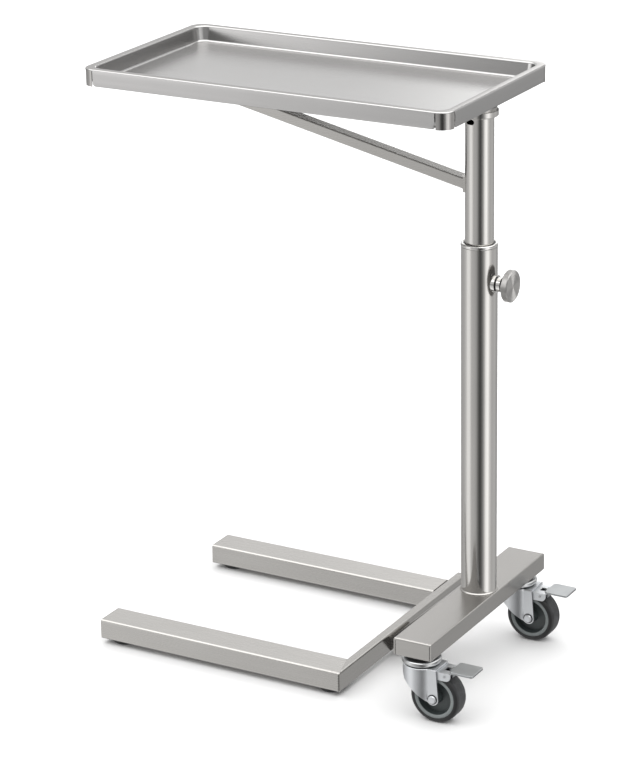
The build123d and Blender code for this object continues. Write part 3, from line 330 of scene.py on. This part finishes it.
tray_low, tray_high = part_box("tray_pan")
tray_half = (tray_high - tray_low) / 2
tray_centre = (tray_high + tray_low) / 2
rim_top = tray_high.z
apron_foot = tray_low.z
TRAY_SHEET = 1.2 * MM
RIM_WIDTH = 12 * MM
RIM_CORNER = 20 * MM
RIM_BEND = 2.0 * MM
MOUTH_BEND = 2.4 * MM
MOUTH_CORNER = 16 * MM
BASIN_DEPTH = 22.5 * MM
WALL_DRAFT = np.radians(9)
FLOOR_FILLET = 3.5 * MM
APRON_CORNER = 4 * MM
SLIT = 0.8 * MM             # from the corner's arc to the end of an apron
HEM = 5 * MM
HEM_BEND = 1.6 * MM
ARC_POINTS = 16
CORNER_POINTS = 7           # of a side, over the rounding at each end of an apron
MIDDLE_POINTS = 16
INWARD_STEPS = (4, 12, 30, 60, 95)      # mm, rings of the flat floor inside its fillet


def side_run(length):
    """Distances along a side: dense over the apron's two roundings, even between them."""
    near = SLIT + APRON_CORNER * (1 - np.cos(np.linspace(0, np.pi / 2, CORNER_POINTS)))
    middle = np.linspace(near[-1], length - near[-1], MIDDLE_POINTS + 2)[1:-1]
    return np.concatenate([near, middle, length - near[::-1]])


def rounded_rectangle(half_x, half_y, radius):
    """A closed ring, counter-clockwise: four quarter circles joined by straight sides. Every ring
    divides its sides in the same shares as the tray's outline, so that rings match point to point."""
    turn = np.linspace(0, np.pi / 2, ARC_POINTS)
    rings = []
    corners = [(1, 1), (-1, 1), (-1, -1), (1, -1)]
    for index, (side_x, side_y) in enumerate(corners):
        centre = np.array([side_x * (half_x - radius), side_y * (half_y - radius)])
        angle = turn + index * np.pi / 2
        arc = centre + radius * np.column_stack([np.cos(angle), np.sin(angle)])
        next_x, next_y = corners[(index + 1) % 4]
        next_centre = np.array([next_x * (half_x - radius), next_y * (half_y - radius)])
        start_angle = (index + 1) * np.pi / 2
        next_start = next_centre + radius * np.array([np.cos(start_angle), np.sin(start_angle)])
        length = 2 * ((tray_half.x, tray_half.y)[index % 2] - RIM_CORNER)
        share = (side_run(length) / length)[:, None]
        rings += [arc, arc[-1] * (1 - share) + next_start * share]
    return np.concatenate(rings)


def apron_lift():
    """How much higher an apron's lower edge lies at each point of a ring: r - sqrt(r^2 - (r - s)^2)
    within r of its ends. Points on the corner arcs, where there is no apron, are nan."""
    lifts = []
    for index in range(4):
        length = 2 * ((tray_half.x, tray_half.y)[index % 2] - RIM_CORNER)
        run = side_run(length)
        short = np.clip(SLIT + APRON_CORNER - np.minimum(run, length - run), 0, APRON_CORNER)
        side = APRON_CORNER - np.sqrt(APRON_CORNER ** 2 - short ** 2)
        lifts += [np.full(ARC_POINTS, np.nan), side]
    return np.concatenate(lifts)


def arc_profile(centre_inset, centre_z, radius, start, end, count):
    """Points of (inset, height) on a circle, from one angle to another in degrees."""
    angle = np.radians(np.linspace(start, end, count))
    return np.column_stack([centre_inset + radius * np.cos(angle), centre_z + radius * np.sin(angle)])


def tray_sheet():
    """Rings of a rounded rectangle, one for each point of the profile: along the hem, round its bend,
    up the apron, over the outer bend, along the flat rim, round the mouth, down the drafted wall,
    round the floor's fillet and inwards. The hem and apron rows have no faces round the corners."""
    hem = np.concatenate([[[HEM, 0]], arc_profile(HEM_BEND, HEM_BEND, HEM_BEND, 270, 180, 6)])
    rise = np.linspace(0.25, 0.75, 3)
    outer = arc_profile(RIM_BEND, -RIM_BEND, RIM_BEND, 180, 90, 9)
    mouth = arc_profile(RIM_WIDTH - MOUTH_BEND * 0.85, -MOUTH_BEND, MOUTH_BEND,
                        90, np.degrees(WALL_DRAFT), 9)
    wall_foot = RIM_WIDTH + BASIN_DEPTH * np.tan(WALL_DRAFT)
    floor = arc_profile(wall_foot + FLOOR_FILLET * 0.8, -BASIN_DEPTH + FLOOR_FILLET,
                        FLOOR_FILLET, 180 + np.degrees(WALL_DRAFT), 270, 10)
    inward = np.array([[floor[-1, 0] + reach * MM, -BASIN_DEPTH] for reach in INWARD_STEPS])
    upper = np.concatenate([outer, mouth, floor, inward])
    insets = [0, RIM_BEND, mouth[0, 0], mouth[-1, 0], floor[-1, 0], inward[-1, 0]]
    corners = [RIM_CORNER, RIM_CORNER - RIM_BEND, MOUTH_CORNER + 1 * MM, MOUTH_CORNER,
               MOUTH_CORNER - 3 * MM, 6 * MM]
    radii = np.interp(upper[:, 0], insets, corners)
    lift = apron_lift()
    outline = rounded_rectangle(tray_half.x, tray_half.y, RIM_CORNER)
    bend_foot = rim_top - RIM_BEND
    rows = []
    for inset, height in hem:
        ring = rounded_rectangle(tray_half.x - inset, tray_half.y - inset, RIM_CORNER - inset)
        rows.append(np.column_stack([ring, apron_foot + lift + height]))
    for share in rise:
        low = apron_foot + lift + HEM_BEND
        rows.append(np.column_stack([outline, low + (bend_foot - low) * share]))
    for (inset, height), radius in zip(upper, radii):
        ring = rounded_rectangle(tray_half.x - inset, tray_half.y - inset, radius)
        rows.append(np.column_stack([ring, np.full(len(ring), rim_top + height)]))
    columns = len(outline)
    cloud = np.concatenate(rows) + np.array([tray_centre.x, tray_centre.y, 0])
    faces = [face for face in grid_faces(len(rows), columns) if not np.isnan(cloud[face, 2]).any()]
    faces.append([(len(rows) - 1) * columns + i for i in range(columns)])
    used = np.unique(np.concatenate([np.array(face) for face in faces]))
    place = np.zeros(len(cloud), int)
    place[used] = np.arange(len(used))
    made = piece("tray_sheet", "tray", cloud[used], [place[face].tolist() for face in faces],
                 tray_steel)
    # The rim rows are marked for the rim's painted shade, the wall rows for glossier walls
    rim_row = len(hem) + len(rise) + len(outer) - 2
    wall_row = rim_row + len(mouth) - 1
    for part, first, last in (("rim", rim_row, rim_row + 3),
                              ("wall", wall_row, wall_row + len(floor) - 3)):
        marked = np.zeros(len(cloud))
        marked[first * columns:(last + 1) * columns] = 1
        attribute = made.data.attributes.new(part, "FLOAT", "POINT")
        attribute.data.foreach_set("value", marked[used])
    wall = made.modifiers.new("sheet", "SOLIDIFY")
    wall.thickness, wall.offset = TRAY_SHEET, -1.0
    return made


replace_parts(tray_sheet(), "tray_pan")


# Small pieces of the casters and the clamp

SHARP_EDGE = np.radians(40)
RIM_BAND = (25.4, 30.8)     # mm, inner and outer radius of the hub's pale rim
RIM_DEPTH = 0.8             # mm, from the tyre's side to the hub's pale rim
AXLE_HEAD = 3.0 * MM
AXLE_THREAD = {"radius": 3.85 * MM, "pitch": 1.0 * MM}
STUD_THREAD = {"radius": 4.75 * MM, "pitch": 1.5 * MM}
THREAD_CUT = 0.1 * MM       # of the axle's end that its thread leaves bare
BOSS_GROOVE = 9.6 * MM      # from the boss's end to the foot of its groove


def revolved(name, body, centre, axis, profile, material, around=72):
    """A ring: centre + r (u cos t + v sin t) + h w, for each (r, h) of a closed profile in
    millimetres, where w is the axis and u and v stand square to it. The profile is taken
    counter-clockwise, so that the faces look outwards."""
    w, u, v = (np.array(unit((axis + step) % 3)) for step in range(3))
    turn = np.linspace(0, 2 * np.pi, around, endpoint=False)
    spoke = np.cos(turn)[:, None] * u + np.sin(turn)[:, None] * v
    profile = np.array(profile) * MM
    following = np.roll(profile, -1, axis=0)
    if np.sum(profile[:, 0] * following[:, 1] - profile[:, 1] * following[:, 0]) < 0:
        profile = profile[::-1]
    cloud = (np.array(centre) + profile[:, 0][:, None, None] * spoke[None]
             + profile[:, 1][:, None, None] * w)
    made = piece(name, body, cloud, grid_faces(len(profile), around, close_rows=True), material)
    made.data.set_sharp_from_angle(angle=SHARP_EDGE)
    return made


def thread(name, body, centre, axis, radius, pitch, length, material, slot, per_turn=24):
    """A screw thread: a V-shaped ridge, closed underneath, swept along the helix
    centre + (u cos t + v sin t) r + w pitch t / 2 pi, tapering out over its first and last quarter turn."""
    w, u, v = (np.array(unit((axis + step) % 3)) for step in range(3))
    turns = length / pitch
    turn = np.linspace(0, 2 * np.pi * turns, int(per_turn * turns))
    fade = np.clip(np.minimum(turn, turn[-1] - turn) / (np.pi / 2), 0.05, 1)
    spoke = np.cos(turn)[:, None] * u + np.sin(turn)[:, None] * v
    ridge = [(0.45, -0.1), (0, 0.32), (-0.45, -0.1)]
    rows = []
    for run, height in ridge:
        reach = radius + height * pitch * fade
        along = (turn / (2 * np.pi) + run * fade) * pitch - length / 2
        rows.append(np.array(centre) + reach[:, None] * spoke + along[:, None] * w)
    cloud = np.stack(rows, axis=1)
    last = len(ridge) * (len(turn) - 1)
    faces = grid_faces(len(turn), len(ridge)) + [[2, 1, 0], [last, last + 1, last + 2]]
    made = piece(name, body, cloud, faces, material)
    made.data.set_sharp_from_angle(angle=SHARP_EDGE)
    return made


for caster in CASTERS:
    low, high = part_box(f"{caster}_wheel_hub")
    axle = (low + high) / 2
    tyre_low, tyre_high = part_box(f"{caster}_wheel_tyre")
    rim_face = (tyre_high.y - tyre_low.y) / 2 / MM - RIM_DEPTH
    for side, end in ((-1, "front"), (1, "back")):
        inner, outer = RIM_BAND
        band = [(inner, rim_face - 1.5), (inner, rim_face + 0.05), (inner + 0.5, rim_face + 0.45),
                (outer - 0.5, rim_face + 0.45), (outer, rim_face + 0.05), (outer, rim_face - 1.5)]
        revolved(f"{caster}_hub_rim_{end}", f"{caster}_wheel", axle, 1,
                 [(radius, side * height) for radius, height in band], rim_nylon)
    low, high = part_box(f"{caster}_axle_bolt")
    # A black washer under each axle's head; its dark ring is painted shade of the gap round the head
    seat = (axle.x, low.y + AXLE_HEAD, axle.z)
    revolved(f"{caster}_axle_shade_washer", f"{caster}_swivel", seat, 1,
             [(6.0, 0.05), (6.0, -0.35), (7.3, -0.35), (7.3, 0.05)], black_nylon)
    nut_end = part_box(f"{caster}_axle_nut")[1].y
    shown = high.y - nut_end
    thread(f"{caster}_axle_thread", f"{caster}_swivel",
           (axle.x, nut_end + shown / 2 - THREAD_CUT, axle.z), 1, length=shown, material=fastener,
           slot="zinc_plate", **AXLE_THREAD)
    low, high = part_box(f"{caster}_race")
    middle = (low + high) / 2
    # A black nylon seal round each caster's neck; it also fills the recess between race and beam with
    # painted shade
    revolved(f"{caster}_neck_shade_seal", "base", (middle.x, middle.y, high.z), 2,
             [(19.2, -9.0), (22.6, -9.0), (22.6, -7.6), (21.2, -6.4), (22.2, -5.0), (22.2, -0.3),
              (19.2, -0.3)], black_nylon)

boss_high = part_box("clamp_boss")[1]
gap = knob_low.x - boss_high.x
thread("clamp_stud_thread", "clamp_handle",
       (boss_high.x + gap / 2, knob_middle.y, knob_middle.z), 0, length=gap, material=fastener,
       slot="steel_fastener", **STUD_THREAD)
# A black nylon washer and rings in the gap before the knob and in the boss's groove: painted shade that
# keeps both dark
washer = (knob_low.x, knob_middle.y, knob_middle.z)
revolved("clamp_shade_washer", "clamp_handle", washer, 0,
         [(5.2, 0), (5.2, -1.9), (9.4, -1.9), (9.8, -1.5), (9.8, -0.3), (9.4, 0)], black_nylon)
groove = (boss_high.x - BOSS_GROOVE, knob_middle.y, knob_middle.z)
revolved("clamp_groove_shade_ring", "base", groove, 0,
         [(8.6, 0.1), (9.5, 0.1), (9.8, 0.6), (9.8, 1.3), (9.5, 1.9), (8.6, 1.9)], black_nylon)
boss_end = (boss_high.x, knob_middle.y, knob_middle.z)
revolved("clamp_end_shade_ring", "base", boss_end, 0,
         [(10.2, -2.3), (10.55, -2.0), (10.55, -0.3), (10.2, 0)], black_nylon)


# Studio

CAMERA_AZIMUTH = 29.68      # degrees, from the side that faces -Y towards +X
CAMERA_PITCH = 19.81
CAMERA_ROLL = -1.0
CAMERA_PLACE = (1.96914, -3.50826, 1.84536)
LENS = 139.6                # mm, on a sensor 36 mm along the frame's long side


def camera():
    """The photograph's viewpoint."""
    azimuth, pitch, roll = np.radians([CAMERA_AZIMUTH, CAMERA_PITCH, CAMERA_ROLL])
    forward = np.array([-np.sin(azimuth) * np.cos(pitch), np.cos(azimuth) * np.cos(pitch),
                        -np.sin(pitch)])
    level = np.array([np.cos(azimuth), np.sin(azimuth), 0])
    upward = np.cross(level, forward)
    right = level * np.cos(roll) + upward * np.sin(roll)
    above = -level * np.sin(roll) + upward * np.cos(roll)
    made = bpy.data.objects.new("camera", bpy.data.cameras.new("camera"))
    made.data.lens, made.data.sensor_width, made.data.sensor_fit = LENS, 36.0, "AUTO"
    made.data.clip_start, made.data.clip_end = 0.1, 100.0
    turn = Matrix(np.column_stack([right, above, -forward]).tolist())
    made.matrix_world = Matrix.Translation(CAMERA_PLACE) @ turn.to_4x4()
    bpy.context.scene.collection.objects.link(made)
    bpy.context.scene.camera = made


FLOOR_RADIUS = 40.0


def floor():
    """A round pale floor. It is left out of reflections, which see the studio's lower half."""
    angle = np.linspace(0, 2 * np.pi, 65)[:-1]
    rim = FLOOR_RADIUS * np.column_stack([np.cos(angle), np.sin(angle), 0 * angle])
    mesh = bpy.data.meshes.new("floor")
    mesh.from_pydata(rim.tolist(), [], [list(range(len(rim)))])
    made = bpy.data.objects.new("floor", mesh)
    bpy.context.scene.collection.objects.link(made)
    material, tree = new_material("pale_floor")
    shader = add(tree, "ShaderNodeBsdfPrincipled", {
        "Base Color": linear("#cacaca"), "Roughness": 0.9, "Specular IOR Level": 0.2})
    add(tree, "ShaderNodeOutputMaterial", {"Surface": shader.outputs[0]})
    mesh.materials.append(material)
    made.visible_glossy = False


# What is mirrored, by the angle round the stand from the camera's side: the tubes and upright faces
# see the low ring, the tray's drafted walls the middle one, its floor the window, the base's level
# faces the high one
LOW_BANDS = [
    (-180, 0.42), (-153, 0.50), (-119, 0.70), (-98, 0.90), (-82, 1.45), (-66, 1.42), (-53, 0.80),
    (-37, 0.74), (-22, 0.60), (-10, 0.22), (2, 0.07), (14, 0.20), (27, 0.60), (40, 1.65), (54, 1.95),
    (68, 1.10), (84, 0.74), (115, 0.80), (124, 0.58), (160, 0.45), (180, 0.42)]
MIDDLE_BANDS = [
    (-180, 1.0), (-120, 0.20), (-100, 0.30), (-84, 1.8), (-63, 2.6), (-53, 0.20), (-40, 0.12),
    (5, 0.10), (20, 1.6), (46, 1.6), (60, 0.12), (95, 0.10), (112, 0.25), (124, 1.2), (150, 1.0),
    (180, 1.0)]
WINDOW_BANDS = [
    (-180, 1.04), (-120, 0.9), (-60, 0.9), (0, 0.6), (60, 1.3), (120, 1.1), (156, 1.2), (165, 3.6),
    (174, 3.6), (179, 1.04)]
HIGH_BANDS = [
    (-180, 1.15), (-120, 0.9), (-60, 0.9), (0, 0.6), (60, 1.3), (120, 0.9), (150, 0.55), (170, 0.65),
    (180, 1.15)]
LEVELS = [(-0.20, -0.10), (0.15, 0.21), (0.30, 0.35), (0.50, 0.72)]   # where one ring fades into the next
OVERHEAD = 3.2
BRIGHTEST = 4.0


def studio():
    """A soft studio as one sky: bands of light and dark low down, an even ring above the horizon
    and a broad soft light overhead."""
    world = bpy.data.worlds.new("studio")
    bpy.context.scene.world = world
    world.use_nodes = True
    tree = world.node_tree
    tree.nodes.clear()
    ray = add(tree, "ShaderNodeTexCoord").outputs["Generated"]
    turned = add(tree, "ShaderNodeMapping", {
        "Vector": ray, "Rotation": (0, 0, -np.radians(CAMERA_AZIMUTH))}, vector_type="POINT")
    parts = add(tree, "ShaderNodeSeparateXYZ", {0: turned.outputs[0]})
    towards = add(tree, "ShaderNodeMath", {0: parts.outputs["Y"], 1: -1.0}, operation="MULTIPLY")
    angle = add(tree, "ShaderNodeMath", {0: parts.outputs["X"], 1: towards.outputs[0]},
                operation="ARCTAN2")
    share = add(tree, "ShaderNodeMath", {0: angle.outputs[0], 1: 1 / (2 * np.pi), 2: 0.5},
                operation="MULTIPLY_ADD")
    sky = None
    rings = [LOW_BANDS, MIDDLE_BANDS, WINDOW_BANDS, HIGH_BANDS, [(-180, OVERHEAD), (180, OVERHEAD)]]
    for stops, level in zip(rings, [None] + LEVELS):
        ramp = add(tree, "ShaderNodeValToRGB", {"Fac": share.outputs[0]})
        ramp.color_ramp.interpolation = "EASE"
        while len(ramp.color_ramp.elements) < len(stops):
            ramp.color_ramp.elements.new(0.5)
        for element, (degrees, light) in zip(ramp.color_ramp.elements, stops):
            element.position = 0.5 + degrees / 360
            element.color = (light / BRIGHTEST,) * 3 + (1,)
        if sky is None:
            sky = ramp.outputs["Color"]
            continue
        rising = add(tree, "ShaderNodeMapRange", {
            "Value": parts.outputs["Z"], "From Min": level[0], "From Max": level[1]},
            interpolation_type="SMOOTHSTEP")
        sky = add(tree, "ShaderNodeMix", {
            0: rising.outputs[0], 6: sky, 7: ramp.outputs["Color"]}, data_type="RGBA").outputs[2]
    lit = add(tree, "ShaderNodeBackground", {"Color": sky, "Strength": BRIGHTEST})
    add(tree, "ShaderNodeOutputWorld", {"Surface": lit.outputs[0]})


camera()
floor()
studio()
bpy.context.scene.view_settings.view_transform = "Standard"
